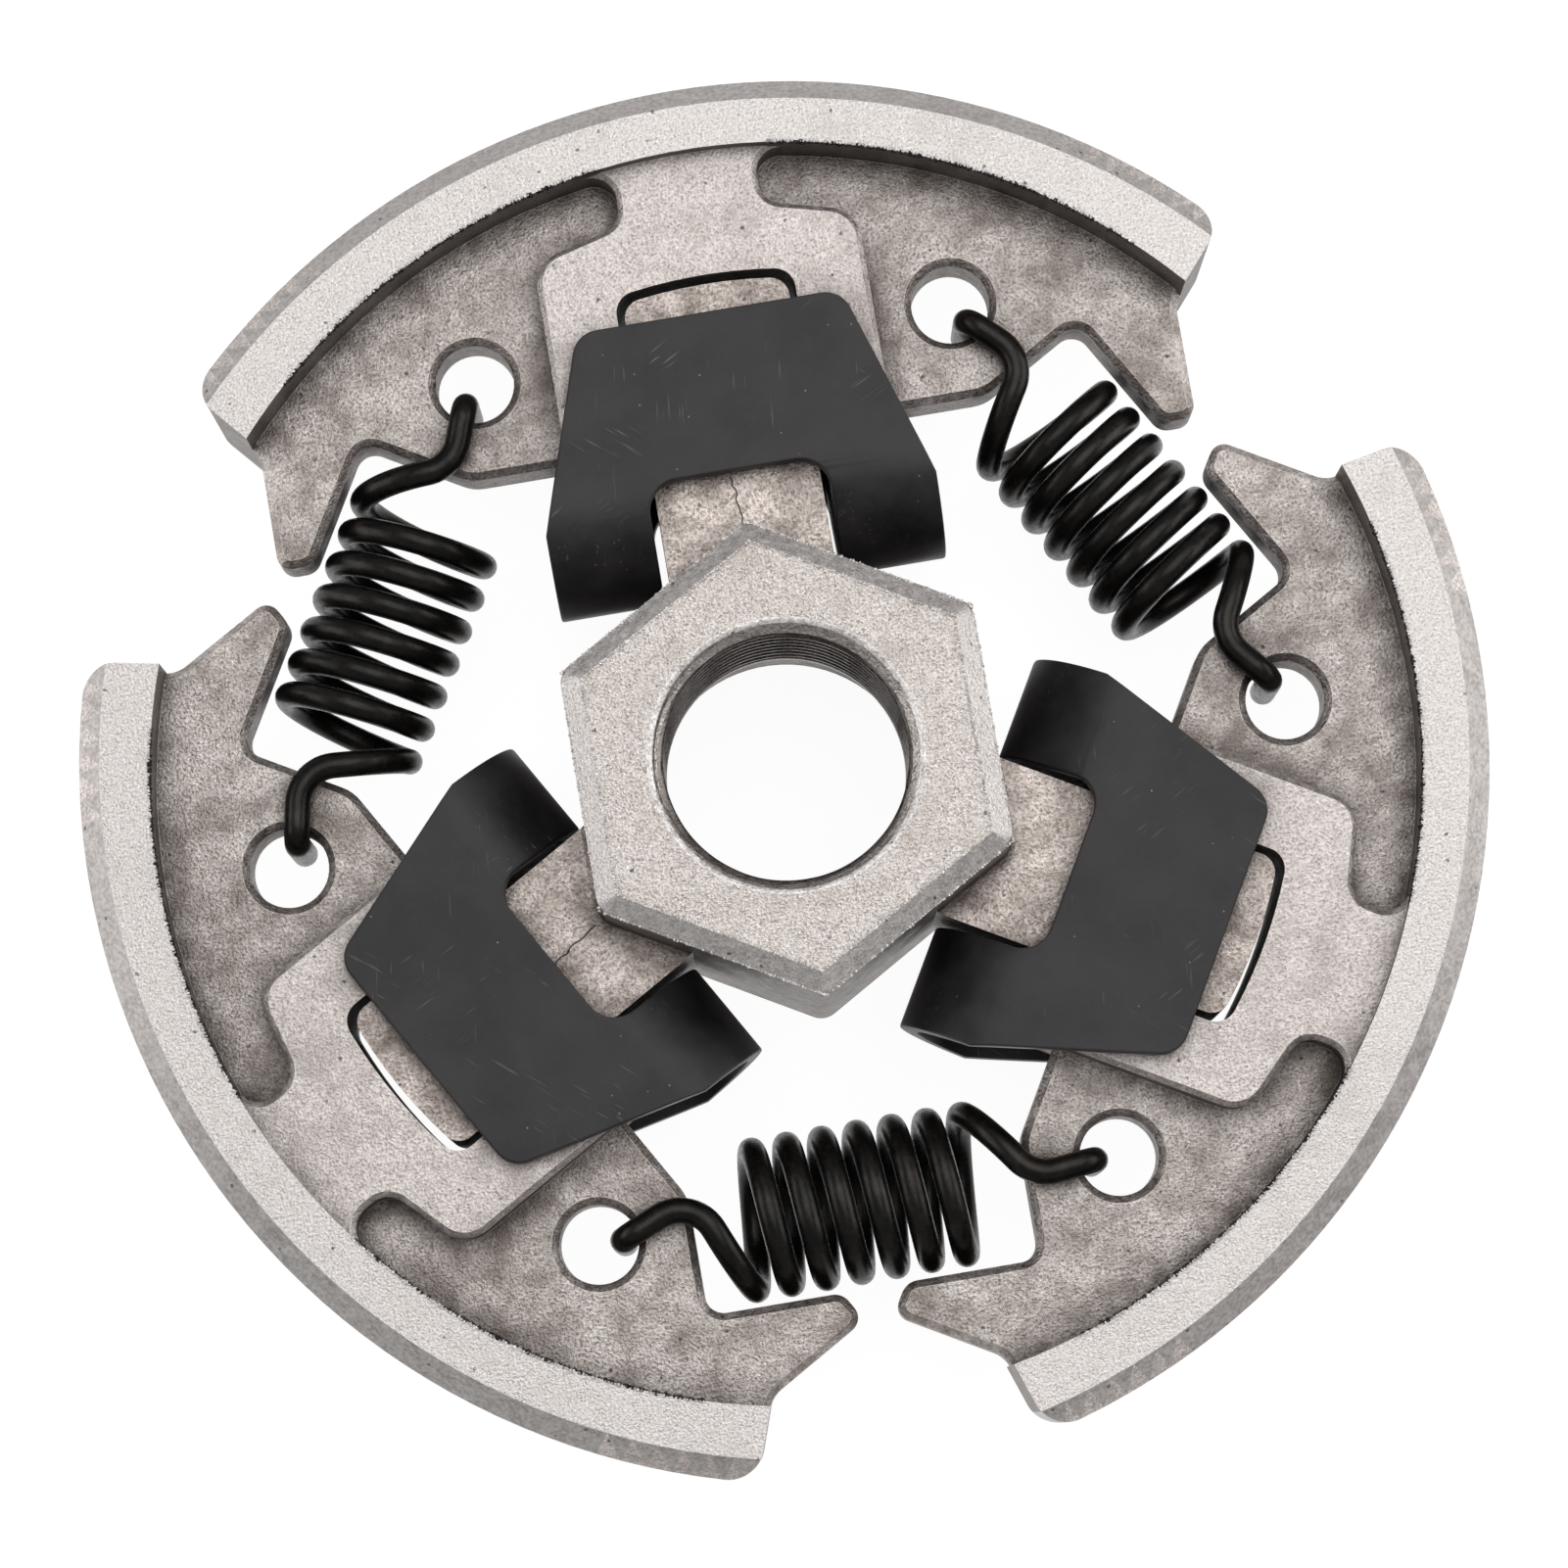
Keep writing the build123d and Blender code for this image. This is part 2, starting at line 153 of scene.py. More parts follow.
@dataclass(frozen=True)
class SinteredSteel:
    """Bare iron powder, pressed and sintered: to the eye a fine sparkling grain under brown and blue heat stains.

    Attributes:
        name: the material's name.
        light: colour of the grain's tops.
        dark: colour between the grains.
        stain: colour of the mottled stain over them.
        stain_share: how much of the surface the stain may cover, from 0 to 1.
        grain_mm: size of one grain; the real powder is near 0.08 mm, drawn coarser so that it shows.
        grain_depth: how strongly the grain tilts the surface, from 0 to 1.
        roughness: mean roughness.
        metallic: how far the shader is metal.
        corner_shade_strength: how dark the painted shade in inner corners is, from 0 to 1.
        clump_grains: grains across a clump, which breaks up the grain where powder flowed together.
        heat_stain: blotches of the heat stain, about as wide as the real ones.
        heat_cloud: slow change of the stain over a shoe.
        pit_spacing_mm: distance between the pores that show as dark pits.
        pit_colour: colour of the pits.
        corner_shade_colour: colour of the painted shade in inner corners.
        corner_mm: how far the painted shade reaches out of a corner.
        relief_mm: height of the grain.
    """

    name: str
    light: str
    dark: str
    stain: str
    stain_share: float = 0.4
    grain_mm: float = 0.14
    grain_depth: float = 0.5
    roughness: float = 0.5
    metallic: float = 0.85
    corner_shade_strength: float = 0.6
    clump_grains: float = 3.5
    heat_stain: Mottle = Mottle(1.7, 5.0, 0.65, 7.0)
    heat_cloud: Mottle = Mottle(8.0, 3.0, 0.5, 11.0)
    pit_spacing_mm: float = 1.3
    pit_colour: str = "#2e2a28"
    corner_shade_colour: str = "#2f2824"
    corner_mm: float = 1.6
    relief_mm: float = 0.09

    def material(self) -> bpy.types.Material:
        """Build the material.

        Returns:
            The material, with grain, stain and pits on Object coordinates, and painted shade in inner corners.
        """
        material, tree, shader, where = new_material(self.name)
        patterns = []
        for mottle in (Mottle(self.grain_mm, 2.0, 0.6), Mottle(self.grain_mm * self.clump_grains, 3.0, 0.6, 3.0),
                       self.heat_stain, self.heat_cloud):
            moved = add_node(tree, "ShaderNodeVectorMath", {0: where, 1: (mottle.shift_cm * CM,) * 3},
                             operation="ADD")
            patterns.append(add_node(tree, "ShaderNodeTexNoise", {
                "Vector": moved, "Scale": 1.0 / (mottle.lump_mm * MM), "Detail": mottle.detail,
                "Roughness": mottle.rough}))
        grain, clump, stain, cloud = patterns
        pits = add_node(tree, "ShaderNodeTexVoronoi", {"Vector": where, "Scale": 1.0 / (self.pit_spacing_mm * MM)})
        summed = []
        for first, part, second, other in ((grain, 0.62, clump, 0.38), (stain, 0.65, cloud, 0.35),
                                           (pits, 1.0, grain, 0.12)):
            rest = add_node(tree, "ShaderNodeMath", {0: second, 1: other}, operation="MULTIPLY")
            summed.append(add_node(tree, "ShaderNodeMath", {0: first, 1: part, 2: rest},
                                   operation="MULTIPLY_ADD"))
        height, patch, pore = summed
        most = min(0.9, 1.2 * self.stain_share)
        ranges = [(height, 0.36, 0.62, 0.0, 1.0),
                  (patch, 0.62 - 0.3 * self.stain_share, 0.68 - 0.08 * self.stain_share, 0.0, most),
                  (pore, 0.105, 0.15, 0.75, 0.0),
                  (clump, 0.3, 0.7, self.roughness - 0.1, self.roughness + 0.12)]
        # Painted shade: inner corners, found by ambient occlusion and blotched by the stain, are darkened towards a
        # dark brown
        if self.corner_shade_strength > 0.0:
            corner = add_node(tree, "ShaderNodeAmbientOcclusion", {"Distance": self.corner_mm * MM}, samples=4)
            ranges += [(corner.outputs["AO"], 0.25, 0.95, self.corner_shade_strength, 0.0), (stain, 0.3, 0.6, 0.6, 1.0)]
        shares = [add_node(tree, "ShaderNodeMapRange", {"Value": value, "From Min": low, "From Max": high,
                                                        "To Min": to_low, "To Max": to_high})
                  for value, low, high, to_low, to_high in ranges]
        grained, stained, pitted, rough = shares[:4]
        layers = [(stained, self.stain), (pitted, self.pit_colour)]
        if self.corner_shade_strength > 0.0:
            # How much painted corner shade each point gets; it also makes the corners a little rougher
            shaded_corner = add_node(tree, "ShaderNodeMath", {0: shares[4], 1: shares[5]}, operation="MULTIPLY")
            layers.append((shaded_corner, self.corner_shade_colour))
            rough = add_node(tree, "ShaderNodeMath", {0: shaded_corner, 1: 0.2 / self.corner_shade_strength, 2: rough},
                             operation="MULTIPLY_ADD")
        colour: Value = linear(self.dark)
        for share, tone in [(grained, self.light)] + layers:
            colour = add_node(tree, "ShaderNodeMix", {0: share, 6: colour, 7: linear(tone)},
                              data_type="RGBA").outputs[2]
        bump = add_node(tree, "ShaderNodeBump", {"Strength": self.grain_depth, "Distance": self.relief_mm * MM,
                                                 "Height": height})
        shader.inputs["Metallic"].default_value = self.metallic
        for name, source in (("Base Color", colour), ("Roughness", rough.outputs[0]), ("Normal", bump.outputs[0])):
            tree.links.new(source, shader.inputs[name])
        return material


@dataclass(frozen=True)
class BlackenedSheet:
    """Spring steel sheet, folded and black oxidised: matt charcoal, rubbed grey in fine scratches, dusty.

    Attributes:
        name: the material's name.
        film: colour of the oxide film where it is thin.
        thick: colour of the film where it is thick.
        worn: colour of the steel in a scratch.
        dust: colour of a speck of dust.
        scratch_turns: the scratches' directions, in radians.
        scratch_mm: width of a scratch; real ones are near 0.03 mm, drawn wider so that they show.
        scratch_stretch: how many times longer than wide a scratch is.
        dust_spacing_mm: distance between specks.
        metallic: how far the shader is metal; an oxide film is part metal, part ceramic.
        roughness: mean roughness.
        film_cloud: patches of thinner and thicker film.
        rolled: the rolled sheet's texture.
        relief_mm: height of the rolled sheet's texture.
    """

    name: str = "blackened_sheet"
    film: str = "#383637"
    thick: str = "#1f1e20"
    worn: str = "#6b625c"
    dust: str = "#a2968a"
    scratch_turns: tuple[float, float, float] = (0.5, 1.45, -0.7)
    scratch_mm: float = 0.13
    scratch_stretch: float = 16.0
    dust_spacing_mm: float = 1.1
    metallic: float = 0.55
    roughness: float = 0.42
    film_cloud: Mottle = Mottle(3.5, 4.0, 0.6, 2.0)
    rolled: Mottle = Mottle(0.12, 2.0, 0.5, 4.0)
    relief_mm: float = 0.02

    def material(self) -> bpy.types.Material:
        """Build the material.

        Returns:
            The material, with its scratches and dust on Object coordinates.
        """
        material, tree, shader, where = new_material(self.name)
        laid = [(where, self.film_cloud), (where, self.rolled)]
        # Every direction of scratches has a pattern of lines, and one of patches where those lines show
        for turn, shift in zip(self.scratch_turns, (1.0, 5.0, 9.0)):
            along = add_node(tree, "ShaderNodeMapping", {"Vector": where, "Rotation": (0.0, 0.0, turn),
                                                         "Scale": (self.scratch_stretch, 1.0, 1.0)},
                             vector_type="TEXTURE")
            laid += [(along, Mottle(self.scratch_mm, 1.0, 0.5, shift)), (where, Mottle(3.5, 1.0, 0.5, shift))]
        patterns = []
        for place, mottle in laid:
            moved = add_node(tree, "ShaderNodeVectorMath", {0: place, 1: (mottle.shift_cm * CM,) * 3},
                             operation="ADD")
            patterns.append(add_node(tree, "ShaderNodeTexNoise", {
                "Vector": moved, "Scale": 1.0 / (mottle.lump_mm * MM), "Detail": mottle.detail,
                "Roughness": mottle.rough}))
        cloud, rolled = patterns[:2]
        specks = add_node(tree, "ShaderNodeTexVoronoi", {"Vector": where,
                                                         "Scale": 1.0 / (self.dust_spacing_mm * MM)})
        ranges = [(cloud, 0.35, 0.7, 0.0, 1.0), (specks, 0.02, 0.045, 0.6, 0.0),
                  (cloud, 0.3, 0.7, self.roughness - 0.05, self.roughness + 0.12)]
        for lines, patches in zip(patterns[2::2], patterns[3::2]):
            ranges += [(lines, 0.68, 0.76, 0.0, 1.0), (patches, 0.56, 0.7, 0.0, 1.0)]
        shares = [add_node(tree, "ShaderNodeMapRange", {"Value": value, "From Min": low, "From Max": high,
                                                        "To Min": to_low, "To Max": to_high})
                  for value, low, high, to_low, to_high in ranges]
        scratched: Value = 0.0
        for lines, patches in zip(shares[3::2], shares[4::2]):
            fine = add_node(tree, "ShaderNodeMath", {0: lines, 1: patches}, operation="MULTIPLY")
            scratched = add_node(tree, "ShaderNodeMath", {0: fine, 1: scratched}, operation="MAXIMUM")
        faint = add_node(tree, "ShaderNodeMath", {0: scratched, 1: 0.7}, operation="MULTIPLY")
        colour: Value = linear(self.thick)
        for share, tone in ((shares[0], self.film), (faint, self.worn), (shares[1], self.dust)):
            colour = add_node(tree, "ShaderNodeMix", {0: share, 6: colour, 7: linear(tone)},
                              data_type="RGBA").outputs[2]
        bump = add_node(tree, "ShaderNodeBump", {"Strength": 0.16, "Distance": self.relief_mm * MM,
                                                 "Height": rolled})
        shader.inputs["Metallic"].default_value = self.metallic
        for name, source in (("Base Color", colour), ("Roughness", shares[2].outputs[0]),
                             ("Normal", bump.outputs[0])):
            tree.links.new(source, shader.inputs[name])
        return material


@dataclass(frozen=True)
class SpringWire:
    """Drawn spring wire, black oxidised: satin black, a little brown where the film is thin.

    Attributes:
        name: the material's name.
        film: colour of the oxide film.
        thin: colour where the film is thin.
        metallic: how far the shader is metal.
        roughness: mean roughness.
        wear: patches where the film is thin, about as long as a coil's wire is thick.
        fleck: die marks; real ones are near 0.05 mm, drawn coarser so that they show.
        relief_mm: depth of the die marks.
    """

    name: str = "spring_wire"
    film: str = "#171615"
    thin: str = "#302a26"
    metallic: float = 0.7
    roughness: float = 0.3
    wear: Mottle = Mottle(1.1, 4.0, 0.6, 2.0)
    fleck: Mottle = Mottle(0.25, 2.0, 0.6, 6.0)
    relief_mm: float = 0.02

    def material(self) -> bpy.types.Material:
        """Build the material.

        Returns:
            The material, on Object coordinates.
        """
        material, tree, shader, where = new_material(self.name)
        patterns = []
        for mottle in (self.wear, self.fleck):
            moved = add_node(tree, "ShaderNodeVectorMath", {0: where, 1: (mottle.shift_cm * CM,) * 3},
                             operation="ADD")
            patterns.append(add_node(tree, "ShaderNodeTexNoise", {
                "Vector": moved, "Scale": 1.0 / (mottle.lump_mm * MM), "Detail": mottle.detail,
                "Roughness": mottle.rough}))
        wear, fleck = patterns
        worn, flecked, rough = [
            add_node(tree, "ShaderNodeMapRange", {"Value": value, "From Min": low, "From Max": high,
                                                  "To Min": to_low, "To Max": to_high})
            for value, low, high, to_low, to_high in (
                (wear, 0.42, 0.72, 0.0, 1.0), (fleck, 0.3, 0.7, 0.4, 1.0),
                (fleck, 0.3, 0.7, self.roughness - 0.06, self.roughness + 0.12))]
        share = add_node(tree, "ShaderNodeMath", {0: worn, 1: flecked}, operation="MULTIPLY")
        colour = add_node(tree, "ShaderNodeMix", {0: share, 6: linear(self.film), 7: linear(self.thin)},
                          data_type="RGBA")
        bump = add_node(tree, "ShaderNodeBump", {"Strength": 0.12, "Distance": self.relief_mm * MM,
                                                 "Height": fleck})
        shader.inputs["Metallic"].default_value = self.metallic
        for name, source in (("Base Color", colour.outputs[2]), ("Roughness", rough.outputs[0]),
                             ("Normal", bump.outputs[0])):
            tree.links.new(source, shader.inputs[name])
        return material


@dataclass(frozen=True)
class PaleFloor:
    """Plain white painted board: white to the camera and in reflections, and it keeps the clutch's shadow.

    Attributes:
        name: the material's name.
        colour: the paint's colour.
        light: how bright the board looks to the camera, where 1 is white.
        glow: how much of what the camera sees is that light, from 0 to 1; the rest shows the shadow.
    """

    name: str = "pale_floor"
    colour: str = "#f6f6f6"
    light: float = 1.1
    glow: float = 0.86

    def material(self) -> bpy.types.Material:
        """Build the material.

        Returns:
            The material, whose own light only camera, glossy and transmission rays see.
        """
        material = bpy.data.materials.new(self.name)
        material.use_nodes = True
        tree = material.node_tree
        tree.nodes.clear()
        paint = add_node(tree, "ShaderNodeBsdfDiffuse", {"Color": linear(self.colour)})
        light = add_node(tree, "ShaderNodeEmission", {"Color": linear("#ffffff"), "Strength": self.light})
        path = add_node(tree, "ShaderNodeLightPath").outputs
        seen: Value = path["Is Camera Ray"]
        for ray in ("Is Glossy Ray", "Is Transmission Ray"):
            seen = add_node(tree, "ShaderNodeMath", {0: seen, 1: path[ray]}, operation="MAXIMUM")
        share = add_node(tree, "ShaderNodeMath", {0: seen, 1: self.glow}, operation="MULTIPLY")
        mixed = add_node(tree, "ShaderNodeMixShader", {0: share, 1: paint, 2: light})
        add_node(tree, "ShaderNodeOutputMaterial", {"Surface": mixed})
        return material


class Zone(Enum):
    """Zones of a sintered piece, each with a finish of its own; the value is the material's place in the mesh."""

    RIM = 0
    BOSS = 1
    HUB = 2
    RECESS = 3
    ARM = 4
    TURNED = 5
    WALL = 6
    EDGE = 7
    THREAD = 8
    SCALE = 9


STEEL: dict[Zone, SinteredSteel] = {
    # Pressed flat and rubbed by handling: the palest and finest grain
    Zone.RIM: SinteredSteel("sintered_rim", "#e4dfdc", "#aca6a3", "#b5aeaa", 0.3, grain_mm=0.12,
                            grain_depth=0.7, roughness=0.45),
    # Pressed flat, with blue and brown heat stains
    Zone.BOSS: SinteredSteel("sintered_boss", "#e0d8d4", "#9c9490", "#9c938f", 0.5, grain_mm=0.13,
                             grain_depth=0.9, roughness=0.42),
    # Pressed flat at the hexagon: coarse grain that sparkles most
    Zone.HUB: SinteredSteel("sintered_hub", "#dcd5d0", "#958d89", "#a0978f", 0.4, grain_mm=0.13,
                            grain_depth=1.0, roughness=0.36),
    # Left lower by the die: darker, blotched, with painted shade along its corners
    Zone.RECESS: SinteredSteel("sintered_recess", "#dcd4cf", "#7f7772", "#716761", 0.7, grain_mm=0.14,
                               grain_depth=1.0, roughness=0.4, corner_shade_strength=0.85),
    # Rough face between hexagon and boss, warm brown blotches
    Zone.ARM: SinteredSteel("sintered_arm", "#e6dbd4", "#867c76", "#71665f", 0.65, grain_mm=0.15,
                            grain_depth=1.0, roughness=0.4, corner_shade_strength=0.7),
    # Bevel round the rim, turned smooth
    Zone.TURNED: SinteredSteel("turned_bevel", "#bab5b2", "#938e8b", "#8a8480", 0.3, grain_mm=0.2,
                               grain_depth=0.3, roughness=0.36),
    # Walls along the press stroke: drawn, and given a darker copy of the steel as painted shade on the upright faces
    Zone.WALL: SinteredSteel("pressed_wall", "#8d8581", "#574f4b", "#4b4440", 0.6, grain_mm=0.13,
                             grain_depth=0.6, roughness=0.42),
    # Edges rubbed bright and painted near white as a highlight, which show as thin pale lines
    Zone.EDGE: SinteredSteel("rubbed_edge_painted_highlight", "#fbf8f6", "#aaa39f", "#8d8581", 0.2, grain_mm=0.16,
                             grain_depth=1.0, roughness=0.3, metallic=0.35, corner_shade_strength=0.0),
    # Cut thread, dark, with painted shade between its ridges
    Zone.THREAD: SinteredSteel("cut_thread", "#938c88", "#544d49", "#3f3834", 0.4, grain_mm=0.12,
                               grain_depth=0.3, roughness=0.32, corner_shade_strength=0.75),
    # Black scale and painted shadow: near-black lumps laid just under the rubbed edges, which also draw the arms'
    # hairline seams
    Zone.SCALE: SinteredSteel("burr_scale_and_painted_shadow", "#4a4748", "#1b191c", "#242226", 0.5, grain_mm=0.1,
                              grain_depth=1.0, roughness=0.35, corner_shade_strength=0.0),
}


@dataclass(frozen=True)
class ClutchSizes:
    """Sizes of the clutch that more than one class needs, in millimetres, as the part's source has them."""

    arm_angles: tuple[float, float, float] = (90.0, -30.0, -150.0)
    hub_height: float = 16.5
    across_flats: float = 19.0
    front_chamfer: float = 0.9
    core_radius: float = 5.55875
    mouth_radius: float = 6.3
    thread_root_radius: float = 6.0
    thread_pitch: float = 1.0
    thread_end_depth: float = 8.7
    middle_plane: float = 8.1
    rim_half_height: float = 4.5
    rim_outer_radius: float = 33.3
    rim_inner_radius: float = 29.1
    rim_bevel: float = 1.05
    rim_centre: float = -1.1
    web_half: float = 1.55
    boss_half: float = 3.7
    arm_half: float = 3.5
    spring_line: float = 19.98
    hole_half_spacing: float = 12.1
    hole_radius: float = 1.825
    wire_radius: float = 0.6
    coil_radius: float = 3.2
    coil_pitch: float = 1.64
    coil_turns: float = 6.5
    seat_gap: float = 0.1


SIZES = ClutchSizes()


def arm_frame(angle: float, height: float = 0.0) -> Matrix:
    """Matrix from an arm's own frame, with +X outwards along the arm, to the clutch's frame, in millimetres.

    Args:
        angle: the arm's angle from +X, in degrees.
        height: height of the arm frame's origin.

    Returns:
        The matrix.
    """
    return Matrix.Translation((0.0, 0.0, height)) @ Matrix.Rotation(math.radians(angle), 4, "Z")


def mesh_object(name: str, mesh: bpy.types.Mesh) -> bpy.types.Object:
    """Put a mesh in the scene as an object at the origin.

    Args:
        name: the object's name.
        mesh: its mesh.

    Returns:
        The object.
    """
    piece = bpy.data.objects.new(name, mesh)
    bpy.context.scene.collection.objects.link(piece)
    return piece


def sharp_edges(shell: bmesh.types.BMesh, angle: float) -> list[bmesh.types.BMEdge]:
    """Edges between two faces that meet at more than an angle.

    Args:
        shell: the shell to search.
        angle: the angle in degrees.

    Returns:
        The edges.
    """
    limit = math.radians(angle)
    return [e for e in shell.edges if len(e.link_faces) == 2 and e.calc_face_angle(0.0) > limit]


def merged_copy(node: str) -> bmesh.types.BMesh:
    """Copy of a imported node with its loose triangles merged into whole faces.

    Args:
        node: the node's name.

    Returns:
        A closed shell in metres.
    """
    shell = bmesh.new()
    shell.from_mesh(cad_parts[node].data)
    bmesh.ops.remove_doubles(shell, verts=shell.verts, dist=WELD_MM * MM)
    bmesh.ops.dissolve_limit(shell, angle_limit=math.radians(FLAT_ANGLE), verts=shell.verts, edges=shell.edges,
                             use_dissolve_boundaries=False)
    return shell


def finish_shell(shell: bmesh.types.BMesh, name: str, bevel_mm: float, edge_slot: int,
                 materials: Iterable[bpy.types.Material]) -> bpy.types.Object:
    """Round a shell's sharp edges, shade it and make it an object.

    Args:
        shell: the closed shell, with its faces' material numbers set.
        name: the object's name.
        bevel_mm: width of the rounded edge.
        edge_slot: material number of the rounded edges.
        materials: the object's materials, in order.

    Returns:
        The object.
    """
    bmesh.ops.bevel(shell, geom=sharp_edges(shell, BEVEL_ANGLE), offset=bevel_mm * MM, offset_type="OFFSET", segments=2,
                    profile=0.6, affect="EDGES", clamp_overlap=True, material=edge_slot)
    for face in shell.faces:
        face.smooth = True
    for edge in shell.edges:
        edge.smooth = len(edge.link_faces) == 2 and edge.calc_face_angle(0.0) < math.radians(SHARP_ANGLE)
    mesh = bpy.data.meshes.new(name)
    shell.to_mesh(mesh)
    shell.free()
    for material in materials:
        mesh.materials.append(material)
    piece = mesh_object(name, mesh)
    shading = piece.modifiers.new("flat faces stay flat", "WEIGHTED_NORMAL")
    shading.keep_sharp = True
    return piece


@dataclass
class Carrier:
    """Hub and arms in one piece: hexagon, threaded bore and the three arms that the shoes ride on.

    Attributes:
        sizes: the clutch's sizes.
        edge_mm: width of the rounded edges.
        thread_columns: faces round the thread.
        thread_rows_per_turn: faces along one pitch.
        groove_share: share of the pitch that the groove takes at the core.
        groove_root: how far down its flanks the groove goes before its flat root, from 0 to 1.
        seam_mm: height of the plain strip that joins the thread to the shell at each end.
        crack_lengths: arm number and length of the hairline seam on its face.
        crack_radius: half the width of a hairline seam.
        crack_start: distance of a seam from the hexagon's corner.
        crack_steps: straight runs of a seam.
        crack_drift: how far a seam ends to one side.
        crack_shake: how far a seam's points stray.
        face_margin: how far a face may lie over the arms' faces and still be one of theirs.
    """

    sizes: ClutchSizes = SIZES
    edge_mm: float = 0.17
    thread_columns: int = 128
    thread_rows_per_turn: int = 10
    groove_share: float = 0.78
    groove_root: float = 0.92
    seam_mm: float = 0.25
    crack_lengths: tuple[tuple[int, float], ...] = ((1, 2.6), (3, 3.4))
    crack_radius: float = 0.03
    crack_start: float = 0.2
    crack_steps: int = 12
    crack_drift: float = 0.25
    crack_shake: float = 0.08
    face_margin: float = 0.6

    def zone(self, face: bmesh.types.BMFace) -> Zone:
        """Finish of one face, by its height and the way it looks.

        Args:
            face: a face of the carrier's shell.

        Returns:
            The finish's zone.
        """
        centre = face.calc_center_median() / MM
        if 0.5 < face.normal.z < 0.9 and centre.z > self.sizes.hub_height - self.sizes.front_chamfer:
            return Zone.RIM
        if abs(face.normal.z) > 0.5:
            level = abs(centre.z - self.sizes.middle_plane)
            return Zone.ARM if level < self.sizes.arm_half + self.face_margin else Zone.HUB
        return Zone.WALL

    def bore_radius(self, height: float, turn: float) -> float:
        """Radius of the bore's wall, in millimetres.

        Args:
            height: height above the hub's back face.
            turn: place round the bore, in turns.

        Returns:
            The countersink's radius, or the thread's where its groove is deeper.
        """
        s = self.sizes
        low = s.hub_height - s.thread_end_depth + self.seam_mm
        share = (height / s.thread_pitch + turn) % 1.0
        rise = 1.0 - abs(2.0 * share - 1.0)
        depth = min(max(0.0, rise - (1.0 - self.groove_share)) / self.groove_share, self.groove_root)
        fade = min(1.0, 2.0 * (height - low))
        groove = s.core_radius + fade * depth / self.groove_root * (s.thread_root_radius - s.core_radius)
        return max(groove, s.mouth_radius - (s.hub_height - height))

    def cut_thread(self, shell: bmesh.types.BMesh) -> None:
        """Swap the plain walls of the bore and its countersink for one wall with the thread's ridges.

        Args:
            shell: the carrier's rounded shell, which stays closed.
        """
        s = self.sizes
        low, high = s.hub_height - s.thread_end_depth + self.seam_mm, s.hub_height - self.seam_mm
        wall = [f for f in shell.faces if f.calc_center_median().z / MM > low - 0.9 * self.seam_mm and
                all(math.hypot(v.co.x, v.co.y) / MM < s.mouth_radius + 0.7 * self.edge_mm for v in f.verts)]
        bmesh.ops.delete(shell, geom=wall, context="FACES")
        rows = round((high - low) / s.thread_pitch * self.thread_rows_per_turn)
        rings = []
        for row in range(rows + 1):
            height = low + (high - low) * row / rows
            ring = []
            for column in range(self.thread_columns):
                turn = column / self.thread_columns
                radius = self.bore_radius(height, turn)
                ring.append(shell.verts.new((radius * math.cos(math.tau * turn) * MM,
                                             radius * math.sin(math.tau * turn) * MM, height * MM)))
            rings.append(ring)
        for below, above in zip(rings, rings[1:]):
            for column in range(self.thread_columns):
                after = (column + 1) % self.thread_columns
                face = shell.faces.new((below[column], above[column], above[after], below[after]))
                cone = below[column].co.z / MM > high - (s.mouth_radius - s.core_radius) + self.seam_mm
                face.material_index = (Zone.HUB if cone else Zone.THREAD).value
        rims = [edge for edge in shell.edges if edge.is_boundary]
        middle = (low + high) / 2 * MM
        for rim in ([e for e in rims if e.verts[0].co.z < middle], [e for e in rims if e.verts[0].co.z > middle]):
            for face in bmesh.ops.bridge_loops(shell, edges=rim)["faces"]:
                face.material_index = Zone.EDGE.value
        bmesh.ops.recalc_face_normals(shell, faces=shell.faces)
        for face in shell.faces:
            face.smooth = True

    def burr_lines(self, below: float, inside: float) -> list[list[Vector]]:
        """Rubbed edges of the hexagon: the chamfer's upper and lower rim, in millimetres.

        Args:
            below: how far under the edge the lines run.
            inside: how far they run from the edge into the metal.

        Returns:
            Two closed rings of points.
        """
        s = self.sizes
        lines = []
        for apothem, height in ((s.across_flats / 2 - s.front_chamfer, s.hub_height),
                                (s.across_flats / 2, s.hub_height - s.front_chamfer)):
            corner = (apothem - inside) / math.cos(HEX_HALF_SIDE)
            around = [HEX_HALF_SIDE + 2 * HEX_HALF_SIDE * i for i in range(7)]
            lines.append([Vector((corner * math.cos(a), corner * math.sin(a), height - below)) for a in around])
        return lines

    def seams(self, wire: "WireTree", finish: bpy.types.Material) -> list[bpy.types.Object]:
        """Hairline seams that run from the hexagon's corners over the arms' front faces.

        Args:
            wire: the tree that sweeps them.
            finish: their material.

        Returns:
            The seams' objects.
        """
        s = self.sizes
        pieces = []
        for number, length in self.crack_lengths:
            shaker = random.Random(number)
            place = arm_frame(s.arm_angles[number - 1], s.middle_plane)
            start = s.across_flats / 2 / math.cos(HEX_HALF_SIDE) + self.crack_start
            points = []
            for step in range(self.crack_steps + 1):
                share = step / self.crack_steps
                stray = shaker.uniform(-self.crack_shake, self.crack_shake)
                points.append(place @ Vector((start + length * share, self.crack_drift * share + stray, s.arm_half)))
            piece = wire.sweep(f"arm_{number}_seam", points, self.crack_radius, finish, 6)
            pieces.append(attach(piece, "carrier"))
        return pieces

    def build(self, steel: Sequence[bpy.types.Material]) -> bpy.types.Object:
        """Build the carrier's piece and let it stand for its node.

        Args:
            steel: the sintered materials, in the zones' order.

        Returns:
            The piece.
        """
        shell = merged_copy("carrier")
        shell.normal_update()
        for face in shell.faces:
            face.material_index = self.zone(face).value
        piece = finish_shell(shell, "carrier_steel", self.edge_mm, Zone.EDGE.value, steel)
        threaded = bmesh.new()
        threaded.from_mesh(piece.data)
        self.cut_thread(threaded)
        threaded.to_mesh(piece.data)
        threaded.free()
        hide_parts("carrier")
        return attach(piece, "carrier")


